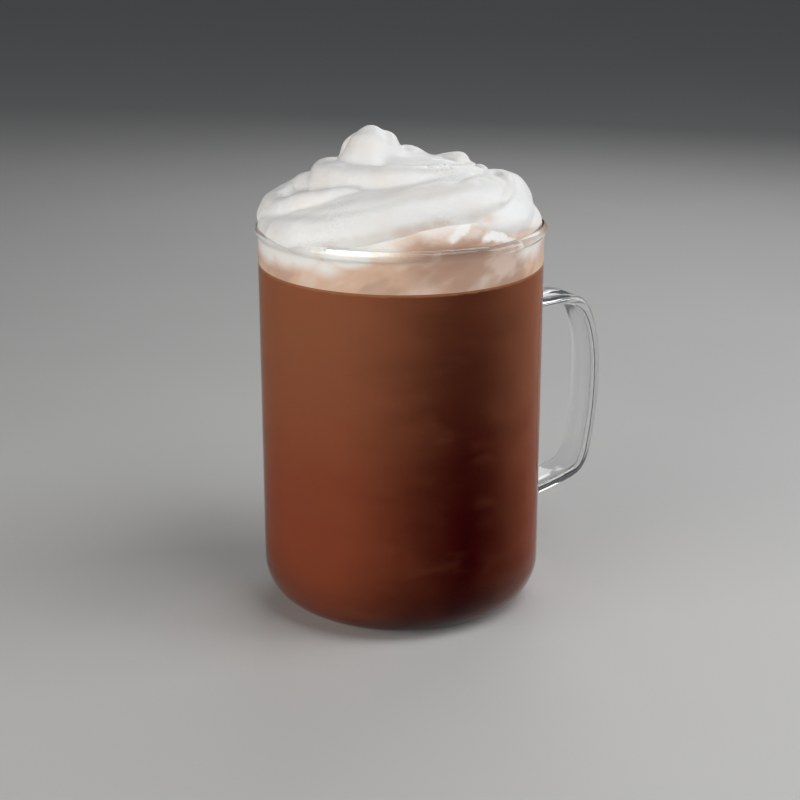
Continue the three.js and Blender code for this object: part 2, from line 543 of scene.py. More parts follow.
@dataclass(frozen=True)
class FoamTan:
    """Milk foam stained by the drink: tan, with white cream pressed in, patches of painted shade on the
    wall under the rim, and along the collar's top a pale line that is partly melted cream and partly a
    painted highlight.
    """

    tan: Rgba = screen(228, 193, 168)
    melted: Rgba = screen(247, 233, 222)
    # Darker tan, for the patches of painted shade as well as for the darker veins and the bubble specks
    deep: Rgba = screen(184, 149, 130)
    white: Rgba = screen(250, 247, 243)
    flow: Triple = (1, 1, 1.6)
    flow_noise: Pair = (9, 4)
    ragged: float = 8
    spill: Pair = (RIM - 1, RIM + 4)
    covered: float = 0.6
    shade_patch_share: float = 0.8
    slant: Triple = (2.4, 1.6, 1)
    tilt: float = 24
    marble_noise: Pair = (7, 2.5)
    dark_veins: Triple = (0.5, 0.34, 0.5)
    pale_veins: Triple = (0.52, 0.72, 0.45)
    white_swing: float = 10
    white_squeeze: float = 2
    torn_size: float = 2.8
    torn_swing: float = 2
    melt_and_highlight_share: float = 0.6
    bubble_size: float = 0.9
    bubble_depth: float = 0.06
    speck: Pair = (0.25, 0.05)
    speck_size: float = 5
    speck_band: Triple = (0.45, 0.7, 0.25)
    roughness: Pair = (0.35, 0.65)
    coat: Pair = (0.3, 0.25)
    shine: float = 0.1
    milk: Milk = (0.3, (1, 0.7, 0.5), 2)
    whites: tuple[Spot, ...] = (
        Spot(196, 39, -2, 10, 17), Spot(214, 39, -2.5, 7, 14), Spot(228, 39, -4, 4, 11),
        Spot(238, 39, -6, 1, 9), Spot(247, 39, -1.5, 5, 11), Spot(256, 37, 2, 4, 13),
        Spot(264, 39, 0, 1, 8), Spot(332, 39, -4, 0, 10), Spot(341, 39, -4, 1, 11),
        Spot(350, 40, 4, 4, 12), Spot(20, 39, 0, 6, 16), Spot(60, 39, -2, 8, 18),
        Spot(105, 39, -1, 8, 20), Spot(150, 39, -3, 10, 22),
    )
    streaks: tuple[Smear, ...] = (
        Smear((299.6, 35.8, 5.5), (295.6, 37.2, 4.3), 1.0, 2.0),
        Smear((295.6, 37.2, 4.3), (291.4, 38.3, 2.4), 0.3, 1.7),
        Smear((305.5, 37.9, 1.2), (312, 38, 1.9), 0.4, 1.5),
        Smear((312, 38, 1.9), (319, 38.2, 0.2), 0.8, 2.0),
        Smear((319, 38.2, 0.2), (325, 38.8, -1.6), 0.5, 1.9),
    )
    # Pale strokes along the collar's top under the band: partly melted cream, partly a painted highlight
    melt_and_highlight_washes: tuple[Smear, ...] = (
        Smear((281, 36.5, 5), (301, 35.5, 7), 0.5, 3.6),
        Smear((301, 35.5, 7), (325, 38, 2.4), 0.4, 2.8),
    )
    # Patches of painted shade on the foam under the rim, darkest at the front right
    shade_patches: tuple[Spot, ...] = (
        Spot(300, 39, -6, 6, 18), Spot(284, 39, -4, 3, 14), Spot(318, 39, -7, 4, 14),
        Spot(80, 39, -7, 3, 12), Spot(128, 39, -7, 3, 10),
    )

    def material(self) -> Material:
        """Builds the finish.

        Returns:
            The material.
        """
        graph = Graph("milk_foam")
        point = graph.place()
        drift = graph.noise(graph.stretched(point, self.flow), *self.flow_noise)
        ragged = drift.swing(self.ragged)
        over = (graph.height(point) + ragged).step(*self.spill)
        colour = graph.blend(over, self.tan, self.melted)
        under = 1.0 - over * self.covered
        # Painted shade: the patches darken the foam under the rim to the darker tan
        dark = graph.patches(point, self.shade_patches, ragged) * under * self.shade_patch_share
        colour = graph.blend(dark, colour, self.deep)
        marble = graph.noise(graph.drawn_out(point, self.slant, self.tilt), *self.marble_noise)
        colour = graph.blend(marble.band(*self.dark_veins) * under, colour, self.deep)
        colour = graph.blend(marble.band(*self.pale_veins), colour, self.melted)
        pale = graph.patches(point, self.whites, marble.swing(self.white_swing), self.white_squeeze)
        torn = graph.noise(point, self.torn_size).swing(self.torn_swing)
        pale = pale | graph.strokes(point, self.streaks, torn)
        # The pale line along the collar's top, partly a painted highlight
        pale = pale | graph.strokes(point, self.melt_and_highlight_washes, torn) * self.melt_and_highlight_share
        colour = graph.blend(pale, colour, self.white)
        bubbles = graph.cells(point, self.bubble_size)
        specks = graph.noise(point, self.speck_size).band(*self.speck_band)
        colour = graph.blend(bubbles.step(*self.speck) * specks, colour, self.deep)
        return graph.surface(
            {
                "Base Color": colour,
                "Roughness": drift.between(*self.roughness),
                "Normal": graph.bump(bubbles, self.bubble_depth),
                "Coat Weight": over * self.coat[0],
                "Coat Roughness": self.coat[1],
                "Specular IOR Level": self.shine,
                **milky(*self.milk),
            }
        )


@dataclass(frozen=True)
class WhippedWhite:
    """Whipped cream: soft white, wet in places, grainy where it was folded, with tan painted shade under
    the front band and the right lobe.
    """

    white: Rgba = screen(247, 246, 244)
    warm: Rgba = screen(246, 240, 233)
    # Tan painted shade, for the undersides of the front band and the right lobe
    shade_tint: Rgba = screen(226, 200, 182)
    drift_noise: Pair = (12, 4)
    warm_band: Triple = (0.4, 0.7, 0.7)
    shade_swing: float = 4
    shade_squeeze: float = 2.2
    shade_share: float = 0.6
    rough_swing: float = 10
    silk_noise: Pair = (3.5, 2)
    silk_depth: float = 0.25
    bubble_size: float = 0.7
    bubble_share: float = 0.5
    grain_noise: Pair = (0.6, 3)
    grain_depth: float = 0.22
    grain_range: Pair = (0.15, 1)
    fleck_noise: Pair = (0.9, 2)
    fleck_step: Pair = (0.5, 0.64)
    roughness: Pair = (0.36, 0.46)
    wet_polish: float = 0.16
    coat: Pair = (0.8, 0.14)
    index: float = 1.38
    milk: Milk = (0.3, (1, 0.9, 0.8), 1.5)
    grain: tuple[Spot, ...] = (
        Spot(302, 21, 18, 2, 9), Spot(312, 19, 19, 2, 8), Spot(242, 36, 6, 2, 8),
        Spot(236, 39, 1, 2, 7), Spot(287, 37, 4, 2, 7), Spot(30, 24, 12, 3, 12),
        Spot(120, 30, 9, 3, 12),
    )
    # Painted shade along the front band's lower edge and under the right lobe
    shade_spots: tuple[Spot, ...] = (
        Spot(272, 37, 4.2, 0, 6), Spot(280, 36.4, 5, 0, 6), Spot(287, 36.4, 6.2, 0, 5),
        Spot(311, 36.4, 6.2, 0, 4.5), Spot(335, 37, 0, 1, 6),
    )

    def material(self) -> Material:
        """Builds the finish.

        Returns:
            The material.
        """
        graph = Graph("whipped_cream")
        point = graph.place()
        drift = graph.noise(point, *self.drift_noise)
        colour = graph.blend(drift.band(*self.warm_band), self.white, self.warm)
        ragged = drift.swing(self.shade_swing)
        # Painted shade: tan patches under the band and the lobe
        shaded = graph.patches(point, self.shade_spots, ragged, self.shade_squeeze) * self.shade_share
        colour = graph.blend(shaded, colour, self.shade_tint)
        rough = graph.patches(point, self.grain, drift.swing(self.rough_swing))
        silk = graph.bump(graph.noise(point, *self.silk_noise), self.silk_depth)
        bubbles = graph.cells(point, self.bubble_size)
        grain = graph.noise(point, *self.grain_noise) * (1 - self.bubble_share)
        grain = grain + bubbles * self.bubble_share
        grain = grain * rough.between(*self.grain_range)
        wet = rough * graph.noise(point, *self.fleck_noise).step(*self.fleck_step)
        return graph.surface(
            {
                "Base Color": colour,
                "Roughness": drift.between(*self.roughness) - wet * self.wet_polish,
                "Normal": graph.bump(grain, self.grain_depth, silk),
                "Coat Weight": wet * self.coat[0],
                "Coat Roughness": self.coat[1],
                "IOR": self.index,
                **milky(*self.milk),
            }
        )


@dataclass(frozen=True)
class PaleFloor:
    """A plain pale studio floor with a barely visible mottle."""

    light: Rgba = screen(214, 213, 211)
    dark: Rgba = screen(206, 205, 203)
    mottle_noise: Pair = (140, 4)
    roughness: Pair = (0.55, 0.65)

    def material(self) -> Material:
        """Builds the finish.

        Returns:
            The material.
        """
        graph = Graph("pale_floor")
        mottle = graph.noise(graph.place(), *self.mottle_noise)
        colour = graph.blend(mottle, self.dark, self.light)
        return graph.surface({"Base Color": colour, "Roughness": mottle.between(*self.roughness)})


def deselect() -> None:
    """Deselects everything, so that an operator acts on the new piece alone."""
    bpy.ops.object.select_all(action="DESELECT")


def added(name: str) -> Piece:
    """Names the piece that an operator has just added."""
    bpy.context.active_object.name = name
    return bpy.context.active_object


def pick(pieces: Sequence[Piece]) -> None:
    """Selects some pieces alone.

    Args:
        pieces: The pieces, the first of which is made active.
    """
    deselect()
    for piece in pieces:
        piece.select_set(True)
    bpy.context.view_layer.objects.active = pieces[0]


def spun(name: str, outline: Sequence[Pair], sides: int) -> Piece:
    """Draws an outline vertex by vertex and spins it round the axis.

    Args:
        name: The piece's name.
        outline: Distance from the axis and height of each point, in mm.
        sides: The number of steps round the axis.

    Returns:
        The closed piece.
    """
    deselect()
    bpy.ops.mesh.primitive_plane_add(size=MM, location=(0, 0, 0))
    piece = added(name)
    bpy.ops.object.mode_set(mode="EDIT")
    bpy.ops.mesh.select_all(action="SELECT")
    bpy.ops.mesh.merge(type="CENTER")
    pen = Vector((0, 0, 0))
    for index, (reach, height) in enumerate(outline):
        point = Vector((reach, 0, height)) * MM
        if index == 0:
            bpy.ops.transform.translate(value=point - pen)
        else:
            bpy.ops.mesh.extrude_vertices_move(TRANSFORM_OT_translate={"value": point - pen})
        pen = point
    bpy.ops.mesh.select_all(action="SELECT")
    bpy.ops.mesh.spin(steps=sides, angle=math.tau, center=(0, 0, 0), axis=(0, 0, 1))
    bpy.ops.mesh.select_all(action="SELECT")
    bpy.ops.mesh.remove_doubles(threshold=WELD * MM)
    bpy.ops.mesh.normals_make_consistent(inside=False)
    bpy.ops.object.mode_set(mode="OBJECT")
    return piece


def stepped(name: str, steps: int) -> Piece:
    """Turns a curve that was just added into straight steps.

    Args:
        name: The curve's name.
        steps: Their number, a multiple of the curve's spans.

    Returns:
        The curve.
    """
    curve = added(name)
    bpy.ops.object.mode_set(mode="EDIT")
    bpy.ops.curve.select_all(action="SELECT")
    bpy.ops.curve.spline_type_set(type="POLY")
    bpy.ops.curve.subdivide(number_cuts=steps // CURVE_SPANS - 1)
    bpy.ops.object.mode_set(mode="OBJECT")
    return curve


def finish(piece: Piece, tool: Tool, **settings: Any) -> None:
    """Puts a modifier on a piece and applies it.

    Args:
        piece: The mesh.
        tool: The kind of modifier.
        **settings: Its properties.
    """
    pick([piece])
    modifier = piece.modifiers.new(tool.value.lower(), tool.value)
    for name, value in settings.items():
        setattr(modifier, name, value)
    bpy.ops.object.modifier_apply(modifier=modifier.name)


def join(piece: Piece, other: Piece, how: Join) -> None:
    """Adds another closed mesh to a piece or cuts it away, and deletes the other."""
    finish(piece, Tool.BOOLEAN, operation=how.value, object=other, solver="MANIFOLD")
    bpy.data.objects.remove(other)


def lump(piece: Piece, size: float, height: float) -> None:
    """Pushes a surface in and out by soft clouds.

    Args:
        piece: The mesh.
        size: The size of the lumps, in mm.
        height: From the deepest to the highest, in mm.
    """
    clouds = bpy.data.textures.new(f"lumps_{size:g}", "CLOUDS")
    clouds.noise_scale = size * MM
    clouds.noise_depth = 1
    relief = {"texture": clouds, "texture_coords": "LOCAL", "strength": height * MM, "mid_level": 0.5}
    finish(piece, Tool.DISPLACE, **relief)


def smooth(piece: Piece, crease: float) -> None:
    """Shades a piece smooth, all but the edges that bend more than this, in degrees."""
    pick([piece])
    bpy.ops.object.shade_smooth_by_angle(angle=math.radians(crease))


def merged(name: str, pieces: Sequence[Piece]) -> Piece:
    """Joins several meshes into one object.

    Args:
        name: The object's name.
        pieces: The meshes, the first of which takes up the others.

    Returns:
        The object.
    """
    pick(pieces)
    bpy.ops.object.join()
    pieces[0].name = name
    return pieces[0]


def hand_over(piece: Piece, material: Material, node: str) -> None:
    """Dresses a piece and puts it in the place of its CAD node.

    Args:
        piece: The finished mesh.
        material: Its finish.
        node: The CAD node that it stands for.
    """
    piece.data.materials.clear()
    piece.data.materials.append(material)
    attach(piece, BODY)
    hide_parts(node)
    log.info("%s: %d faces, stands for %s", piece.name, len(piece.data.polygons), node)


@dataclass(frozen=True)
class Rope:
    """A rope of cream or foam, as it was laid.

    Each of its points gives the distance to the right of the axis and away from the viewer, the height
    over the rim and the half thickness.
    """

    points: tuple[Quad, ...]
    step: float = 0.9
    least_steps: int = 3
    tip: float = 0.05

    def line(self) -> list[Station]:
        """The rope's middle line, with round ends.

        Returns:
            Places in the part's frame and half thicknesses, in mm.
        """
        length = sum(math.dist(a[:3], b[:3]) for a, b in zip(self.points, self.points[1:]))
        steps = max(self.least_steps, round(length / self.step / CURVE_SPANS)) * CURVE_SPANS
        places = []
        for index in range(steps + 1):
            right, away, height, thick = spline(self.points, index / steps)
            places.append((seen(right, away, height), thick))
        return self._rounded(places)

    def _rounded(self, places: list[Station]) -> list[Station]:
        """Draws the half thickness in towards both ends, as on a ball.

        Args:
            places: Places along the rope and half thicknesses.

        Returns:
            The same places with the new half thicknesses.
        """
        run = [0.0]
        for (before, _), (after, _) in zip(places, places[1:]):
            run.append(run[-1] + (after - before).length)
        rounded = []
        for (place, thick), start in zip(places, run):
            left = max(0.0, 1 - min(start, run[-1] - start) / thick)
            rounded.append((place, max(self.tip, thick * math.sqrt(1 - left * left))))
        return rounded

    def mesh(self, name: str, section: Piece) -> Piece:
        """Sweeps a section along the line.

        Args:
            name: The rope's name.
            section: A closed curve of radius 1 m, which each place's half thickness scales.

        Returns:
            The rope as a closed mesh.
        """
        line = self.line()
        deselect()
        bpy.ops.curve.primitive_nurbs_path_add(location=(0, 0, 0))
        rope = stepped(name, len(line) - 1)
        for point, (place, thick) in zip(rope.data.splines[0].points, line):
            point.co = (*(place * MM), 1)
            point.radius = thick * MM
        rope.data.twist_mode = "Z_UP"
        rope.data.bevel_mode = "OBJECT"
        rope.data.bevel_object = section
        rope.data.use_fill_caps = True
        pick([rope])
        bpy.ops.object.convert(target="MESH")
        return bpy.context.active_object


@dataclass(frozen=True)
class Piping:
    """The section of a piped rope: soft ridges, whose height is a share of the radius."""

    lobes: int = 7
    depth: float = 0.015
    steps: int = 48

    def curve(self) -> Piece:
        """Draws the section, which is used only as a bevel.

        Returns:
            A closed curve of radius 1 m.
        """
        deselect()
        bpy.ops.curve.primitive_bezier_circle_add(radius=1, location=(0, 0, 0))
        section = stepped("piped_section", self.steps)
        for index, point in enumerate(section.data.splines[0].points):
            turn = math.tau * index / self.steps
            radius = 1 + self.depth * math.cos(self.lobes * turn)
            point.co = (radius * math.cos(turn), radius * math.sin(turn), 0, 1)
        return section


@dataclass
class GlassMug:
    """The clear mug: a straight body with a round heel, a polished bead and a fused strap handle."""

    radius: float = 41.5
    wall: float = 2.3
    base: float = 4
    heel: float = 13
    bead: float = 1.5
    bead_reach: float = 40.7
    sides: int = 192
    heel_steps: int = 20
    inner_heel_steps: int = 18
    bead_steps: int = 24
    crease: float = 50
    strap_width: float = 12.5
    strap_thickness: float = 3.2
    strap_sides: int = 40
    root_reach: float = 40.35
    arm_root: float = 86.1
    foot_root: float = 24.6
    ear: tuple[Pair, ...] = (
        (54.0, 86.5), (61.3, 83.2), (65.0, 73.0), (65.9, 60.0), (64.6, 44.0), (61.6, 32.4),
        (54.6, 28.3),
    )
    strap_steps: int = 90
    trace_steps: int = 600
    trace_reach: int = 6
    flare: float = 0.45
    flare_length: float = 6
    zone_reach: float = 12
    zone_depth: float = 20

    @property
    def bore(self) -> float:
        """The radius of the inside."""
        return self.radius - self.wall

    @property
    def bead_height(self) -> float:
        """The height of the bead's middle."""
        return RIM - self.bead

    def _body(self) -> Piece:
        """Spins the wall, the heel and the bead.

        Returns:
            The closed body without its handle.
        """
        inner_heel = self.heel - self.wall
        inner_middle = (self.bore - inner_heel, self.base + inner_heel)
        lean = -math.degrees(math.acos((self.radius - self.bead_reach) / self.bead))
        outline = [
            (0.0, 0.0),
            *arc((self.radius - self.heel, self.heel), self.heel, (-90, 0), self.heel_steps),
            *arc((self.bead_reach, self.bead_height), self.bead, (lean, 180), self.bead_steps),
            *arc(inner_middle, inner_heel, (0, -90), self.inner_heel_steps),
            (0.0, self.base),
        ]
        return spun("mug_glass", outline, self.sides)

    def _ear_line(self) -> list[tuple[Vector, float]]:
        """The strap's middle line.

        Returns:
            Even places along it in the XZ plane, in mm, and the direction there in radians.
        """
        knots = [(self.root_reach, self.arm_root), *self.ear, (self.root_reach, self.foot_root)]
        steps = self.trace_steps
        fine = [spline(knots, index / steps) for index in range(steps + 1)]
        run = [0.0]
        for before, after in zip(fine, fine[1:]):
            run.append(run[-1] + math.dist(before, after))
        line = []
        for index in range(self.strap_steps + 1):
            goal = run[-1] * index / self.strap_steps
            near = min(range(len(run)), key=lambda i: abs(run[i] - goal))
            low = fine[max(0, near - self.trace_reach)]
            high = fine[min(steps, near + self.trace_reach)]
            heading = math.atan2(high[1] - low[1], high[0] - low[0])
            line.append((Vector((fine[near][0], 0, fine[near][1])), heading))
        return line

    def _handle(self) -> Piece:
        """Draws the strap out of a rounded bar section, ring by ring along the ear.

        Returns:
            The closed strap, flared at both ends.
        """
        line = self._ear_line()
        start, heading = line[0]
        deselect()
        bpy.ops.mesh.primitive_circle_add(
            vertices=self.strap_sides,
            radius=self.strap_thickness / 2 * MM,
            fill_type="NGON",
            location=start * MM,
            rotation=(0, math.pi / 2 - heading, 0),
        )
        strap = added("strap")
        bpy.ops.object.transform_apply(location=True, rotation=True, scale=True)
        for side in (-1, 1):
            for part in (*strap.data.edges, *strap.data.polygons):
                part.select = False
            for vertex in strap.data.vertices:
                vertex.select = vertex.co.y * side > SLIVER * MM
            bpy.ops.object.mode_set(mode="EDIT")
            spread = side * (self.strap_width - self.strap_thickness) / 2
            bpy.ops.transform.translate(value=(0, spread * MM, 0))
            bpy.ops.object.mode_set(mode="OBJECT")
        bpy.ops.object.mode_set(mode="EDIT")
        bpy.ops.mesh.select_all(action="SELECT")
        size = 1.0
        reach = (len(line) - 1) * (line[1][0] - line[0][0]).length
        for index, (place, turn) in enumerate(line):
            along = reach * index / (len(line) - 1)
            near = max(0.0, 1 - min(along, reach - along) / self.flare_length)
            wanted = 1 + self.flare * near**2
            if index:
                step = place - line[index - 1][0]
                bpy.ops.mesh.extrude_region_move(TRANSFORM_OT_translate={"value": step * MM})
                swing = (turn - line[index - 1][1] + math.pi) % math.tau - math.pi
                bpy.ops.transform.rotate(
                    value=swing,
                    orient_axis="Y",
                    orient_type="GLOBAL",
                    center_override=place * MM,
                )
            change = wanted / size
            bpy.ops.transform.resize(value=(change,) * 3, center_override=place * MM)
            size = wanted
        bpy.ops.mesh.select_all(action="SELECT")
        bpy.ops.mesh.normals_make_consistent(inside=False)
        bpy.ops.object.mode_set(mode="OBJECT")
        return strap

    def rim_zone(self, bite: float, floor: float) -> Piece:
        """Makes what is cut from the cream and the foam so that they sit in the rim.

        Args:
            bite: How far they may reach into the glass.
            floor: The height of their underside.

        Returns:
            The ring of the wall and the bead together with all that lies under the floor.
        """
        bore = self.bore + bite
        bead = self.bead - bite
        far = self.radius + self.zone_reach
        outline = [
            (0.0, floor),
            (bore, floor),
            *arc((self.bead_reach, self.bead_height), bead, (180, 0), self.bead_steps),
            (self.bead_reach + bead, floor),
            (far, floor),
            (far, floor - self.zone_depth),
            (0.0, floor - self.zone_depth),
        ]
        return spun("rim_zone", outline, self.sides)

    def build(self) -> None:
        """Fuses the handle to the body and dresses the mug."""
        mug = self._body()
        join(mug, self._handle(), Join.ADD)
        smooth(mug, self.crease)
        glass = ClearGlass(self.radius, self.bead_height - self.bead)
        hand_over(mug, glass.material(), "glass_mug")


@dataclass
class MochaFill:
    """The brown drink, which wets the glass all round."""

    mug: GlassMug
    level: float
    bite: float = 0.08
    crease: float = 40

    def build(self) -> None:
        """Spins the fill, just into the wall, and dresses it."""
        heel = self.mug.heel - self.mug.wall
        bore = self.mug.bore + self.bite
        floor = self.mug.base - self.bite
        outline = [
            (0.0, floor),
            *arc((bore - heel, floor + heel), heel, (-90, 0), self.mug.inner_heel_steps),
            (bore, self.level / 2),
            (bore, self.level),
            (0.0, self.level),
        ]
        fill = spun("mocha_fill", outline, self.mug.sides)
        smooth(fill, self.crease)
        hand_over(fill, MochaBrown(self.level).material(), "mocha")


@dataclass
class FoamLayer:
    """The tan foam between the drink and the cream, with the melted collar that swells over the rim."""

    mug: GlassMug
    level: float
    section: Piece
    bite: float = 0.06
    sink: float = 0.6
    crown: float = 113.6
    lip: Pair = (0.4, 0.5)
    collar_sink: float = 3
    voxel: float = 0.55
    lumps: Pair = (7, 1)
    rounds: int = 10
    crease: float = 50
    collar: Rope = Rope((
        (-24, -22, -6, 5.4), (-16, -29.5, -4.2, 6), (-2, -32, -2.6, 6.4), (14, -29.2, -0.2, 6.8),
        (27, -17, -1.4, 6.2), (34.5, 1, 0.2, 6), (27, 20, -1.5, 5.8), (11, 31, -3, 5.5),
    ))

    def build(self) -> None:
        """Spins the layer, lays the collar on it and dresses both as one."""
        bore = self.mug.bore + self.bite
        outline = [
            (0.0, self.level - self.sink),
            (bore, self.level - self.sink),
            (bore, self.crown - self.lip[1]),
            (bore - self.lip[0], self.crown),
            (0.0, self.crown),
        ]
        layer = spun("foam_layer", outline, self.mug.sides)
        collar = self.collar.mesh("collar", self.section)
        finish(collar, Tool.REMESH, mode="VOXEL", voxel_size=self.voxel * MM)
        lump(collar, *self.lumps)
        finish(collar, Tool.SMOOTH, factor=SMOOTHING, iterations=self.rounds)
        join(collar, self.mug.rim_zone(self.bite, self.crown - self.collar_sink), Join.CUT)
        join(layer, collar, Join.ADD)
        smooth(layer, self.crease)
        hand_over(layer, FoamTan().material(), "milk_foam")


@dataclass
class CreamSwirl:
    """The leaning swirl of whipped cream: ropes laid round a core, run together and softened."""

    mug: GlassMug
    section: Piece
    core_radius: float = 27
    core_height: float = 20
    core_sides: int = 64
    floor: float = 113.2
    bite: float = 0.05
    voxel: float = 0.5
    soft_from: Pair = (-16, 8)
    soft_least: float = 0.35
    soft_rounds: int = 14
    peak: Triple = (-8, -1, 21)
    peak_zone: Pair = (10, 15)
    peak_rounds: int = 20
    lumps: tuple[Pair, ...] = ((9, 0.9), (3, 0.2))
    crisp_rounds: int = 1
    crease: float = 60
    flowing: tuple[Rope, ...] = (
        # The wide band across the front, up to the right: its lower, middle and upper part
        Rope((
            (-33, 8, -1.5, 5.5), (-35.2, -6, -1.2, 5.8), (-27, -24.4, 0.4, 6.2), (-13, -30.2, 3.2, 6.4),
            (1, -30.4, 6.6, 6.4), (14, -26.8, 8.8, 6.4), (21.5, -21, 9.6, 6.6), (26, -14.5, 9.4, 6.2),
            (27, -7, 9, 5),
        )),
        Rope((
            (-26, -22.6, 1.6, 5.4), (-20, -25.8, 3.8, 5.8), (-11, -28.2, 6.2, 6), (0, -28.4, 8.2, 6.1),
            (10, -25.6, 9.8, 6), (17, -20, 10.4, 5.6),
        )),
        Rope((
            (-32, -13, 0.4, 4.6), (-25.6, -21, 3, 5.1), (-18.5, -23.5, 5.7, 5.3),
            (-12, -24.5, 7.6, 5.5), (-3, -25, 8.3, 5.8), (6, -23, 9.2, 5.8), (16, -16, 10.4, 5.4),
            (22, -9, 10, 6),
        )),
        # The right lobe that the band runs into, on round the back
        Rope((
            (13, -26, 5, 4.2), (21.5, -22.8, 4, 6), (28.8, -13.5, 4, 7.6), (28.6, -4, 6, 9.1),
            (27.5, 5, 4.5, 8.6), (22, 15, 4.5, 8.3), (10, 26, 5, 8.3), (-9, 28.5, 4.2, 7.8),
            (-25, 20.5, 3.4, 7), (-34, 8, 2, 6), (-35.4, -4, 1, 5),
        )),
        # The round left end of the bands, and the bed behind it
        Rope(((-33, 9, 1.2, 6.2), (-35.2, 0, 1.4, 6.3), (-34, -9, 1.2, 5.4))),
        Rope(((-22, -14, 2, 6), (-27, -3, 1.6, 6.4), (-26, 8, 2, 6.6), (-18, 18, 3, 7))),
        # The second coil, from behind the peak round its left end and down into the right lobe
        Rope((
            (6, 11, 10, 6), (-5, 13.4, 11, 6.2), (-13.5, 10.6, 11.4, 6.2), (-19.6, 3, 11.8, 5.8),
            (-19, -7, 12, 6.3), (-11, -14.5, 12, 6.6), (0, -16.5, 12.2, 6.6), (10, -13.5, 12.4, 6.2),
            (18, -8, 12.2, 5.6), (25, -4, 10, 5),
        )),
        # The crest from the peak to the bumps at the right
        Rope((
            (-4, 3, 17, 5.2), (2, 4, 16.6, 4.8), (6, 4.5, 14.8, 4.5), (10, 4, 14.2, 4.3),
            (13.5, 3.2, 15.2, 4.2), (16.6, 1.8, 16.2, 3.9), (20, 0.4, 15.6, 3),
        )),
        # The broad slope between the peak, the crest and the second coil
        Rope(((-7, -8.5, 14.6, 5), (2, -8.5, 15, 5), (10, -6, 14.4, 5), (18, -3.5, 12.8, 4.6))),
        # The peak and its right shoulder
        Rope((
            (-9.5, -4, 9, 10), (-9.2, -3.4, 16, 9.2), (-8.8, -2, 21.4, 7), (-8.4, -0.5, 25, 4.8),
            (-8, 0, 28, 2.8),
        )),
        Rope((
            (-6, -3, 12, 8.2), (-5.6, -2.6, 17, 7.2), (-5.4, -1.5, 21, 5.6), (-5.6, -0.6, 25.4, 3.6),
        )),
        Rope(((-5, 0.5, 12, 6.5), (-4.6, 0.5, 19, 5.3), (-4.4, 0.4, 23, 4), (-4.6, 0.2, 26.4, 2.6))),
    )
    folded: tuple[Rope, ...] = (
        # The band from behind, which comes round the left and tapers off over the first
        Rope((
            (-6, 29, 4.4, 7.4), (-24, 21.5, 3.8, 7), (-34.8, 3, 3, 5.8), (-33.2, -9.4, 4.2, 4.5),
            (-27, -17.3, 8, 3.7), (-21, -21.2, 10.2, 3.1), (-15, -22.6, 12, 2.3),
            (-10.6, -23.2, 12.2, 1.2),
        )),
        # The shadowed coil over it at the left, on round the back
        Rope((
            (-14, 2, 9, 4.5), (-22, 7, 7, 5.5), (-27.5, 11.5, 5.8, 6.2), (-21, 19, 5.4, 6.4),
            (-2, 23, 8.5, 6), (14, 17, 10, 6), (22, 6, 9.5, 5.5),
        )),
        # What fills the fold between it and the second coil
        Rope(((-21.5, 2, 7, 5), (-23, 8.6, 6.6, 5.6), (-19, 14.6, 7, 6.2), (-8, 19, 8.5, 6))),
        # The round left end of the second coil, which stands out in front of it
        Rope((
            (-11.5, 8, 11.8, 5.4), (-19.4, 3, 12, 5.9), (-19.6, -6, 12, 6.4), (-12, -13.4, 11.8, 6.4),
            (-4, -14.5, 11.6, 5),
        )),
        # The narrow fold behind the peak's left side
        Rope((
            (-13.4, 3, 12, 5), (-12.6, 3, 19.6, 4.8), (-11.6, 2.6, 22.4, 3.9), (-10.4, 2, 25.6, 2.6),
        )),
        # The round end of the front band on the right lobe
        Rope(((9, -22, 8.5, 3), (17, -20.5, 9.6, 5.4), (23.5, -17.6, 9.8, 6.8), (30, -13.5, 9, 6))),
        # The crescent ridge round it
        Rope((
            (22.5, -9.2, 14.2, 1.6), (26, -5.8, 14, 2), (29.4, -8, 13.6, 2.2), (29.4, -15.5, 13, 2.2),
            (28.6, -20.2, 11.2, 2), (25.9, -24.5, 9.6, 1.4),
        )),
        # The torn bumps at the right of the crest
        Rope(((16.8, 1, 17.2, 2.2), (18.4, 0.6, 17, 1.7), (19.8, 0.2, 16.2, 1.2))),
        Rope(((20.6, -0.4, 13, 2.2), (22.4, -1.8, 15.2, 1.9), (24.2, -3.6, 13, 2.2))),
    )

    def _core(self) -> Piece:
        """Flattens a ball into the heap that the ropes lie on.

        Returns:
            The heap, with its middle at the height of the rim.
        """
        deselect()
        bpy.ops.mesh.primitive_uv_sphere_add(
            segments=self.core_sides,
            ring_count=self.core_sides // 2,
            radius=self.core_radius * MM,
            location=(0, 0, RIM * MM),
        )
        core = bpy.context.active_object
        core.scale.z = self.core_height / self.core_radius
        bpy.ops.object.transform_apply(location=True, rotation=True, scale=True)
        return core

    def _laid(self, under: Piece, ropes: tuple[Rope, ...]) -> Piece:
        """Lays ropes on what is there and makes one skin of it all.

        Args:
            under: The piece that lies there already.
            ropes: The ropes to lay on it.

        Returns:
            The closed skin.
        """
        laid = [rope.mesh(f"rope_{index}", self.section) for index, rope in enumerate(ropes)]
        cream = merged("cream_swirl", [under, *laid])
        finish(cream, Tool.REMESH, mode="VOXEL", voxel_size=self.voxel * MM)
        return cream

    def _soften(self, cream: Piece, rounds: int, share: Callable[[Vector], float]) -> None:
        """Smooths the skin by a share of its own at each place.

        Args:
            cream: The skin.
            rounds: How often it is smoothed.
            share: Gives the share from 0 to 1 at a place in mm.
        """
        group = cream.vertex_groups.new(name="softened")
        for vertex in cream.data.vertices:
            group.add([vertex.index], share(vertex.co / MM), "REPLACE")
        settings = {"factor": SMOOTHING, "iterations": rounds, "vertex_group": group.name}
        finish(cream, Tool.SMOOTH, **settings)

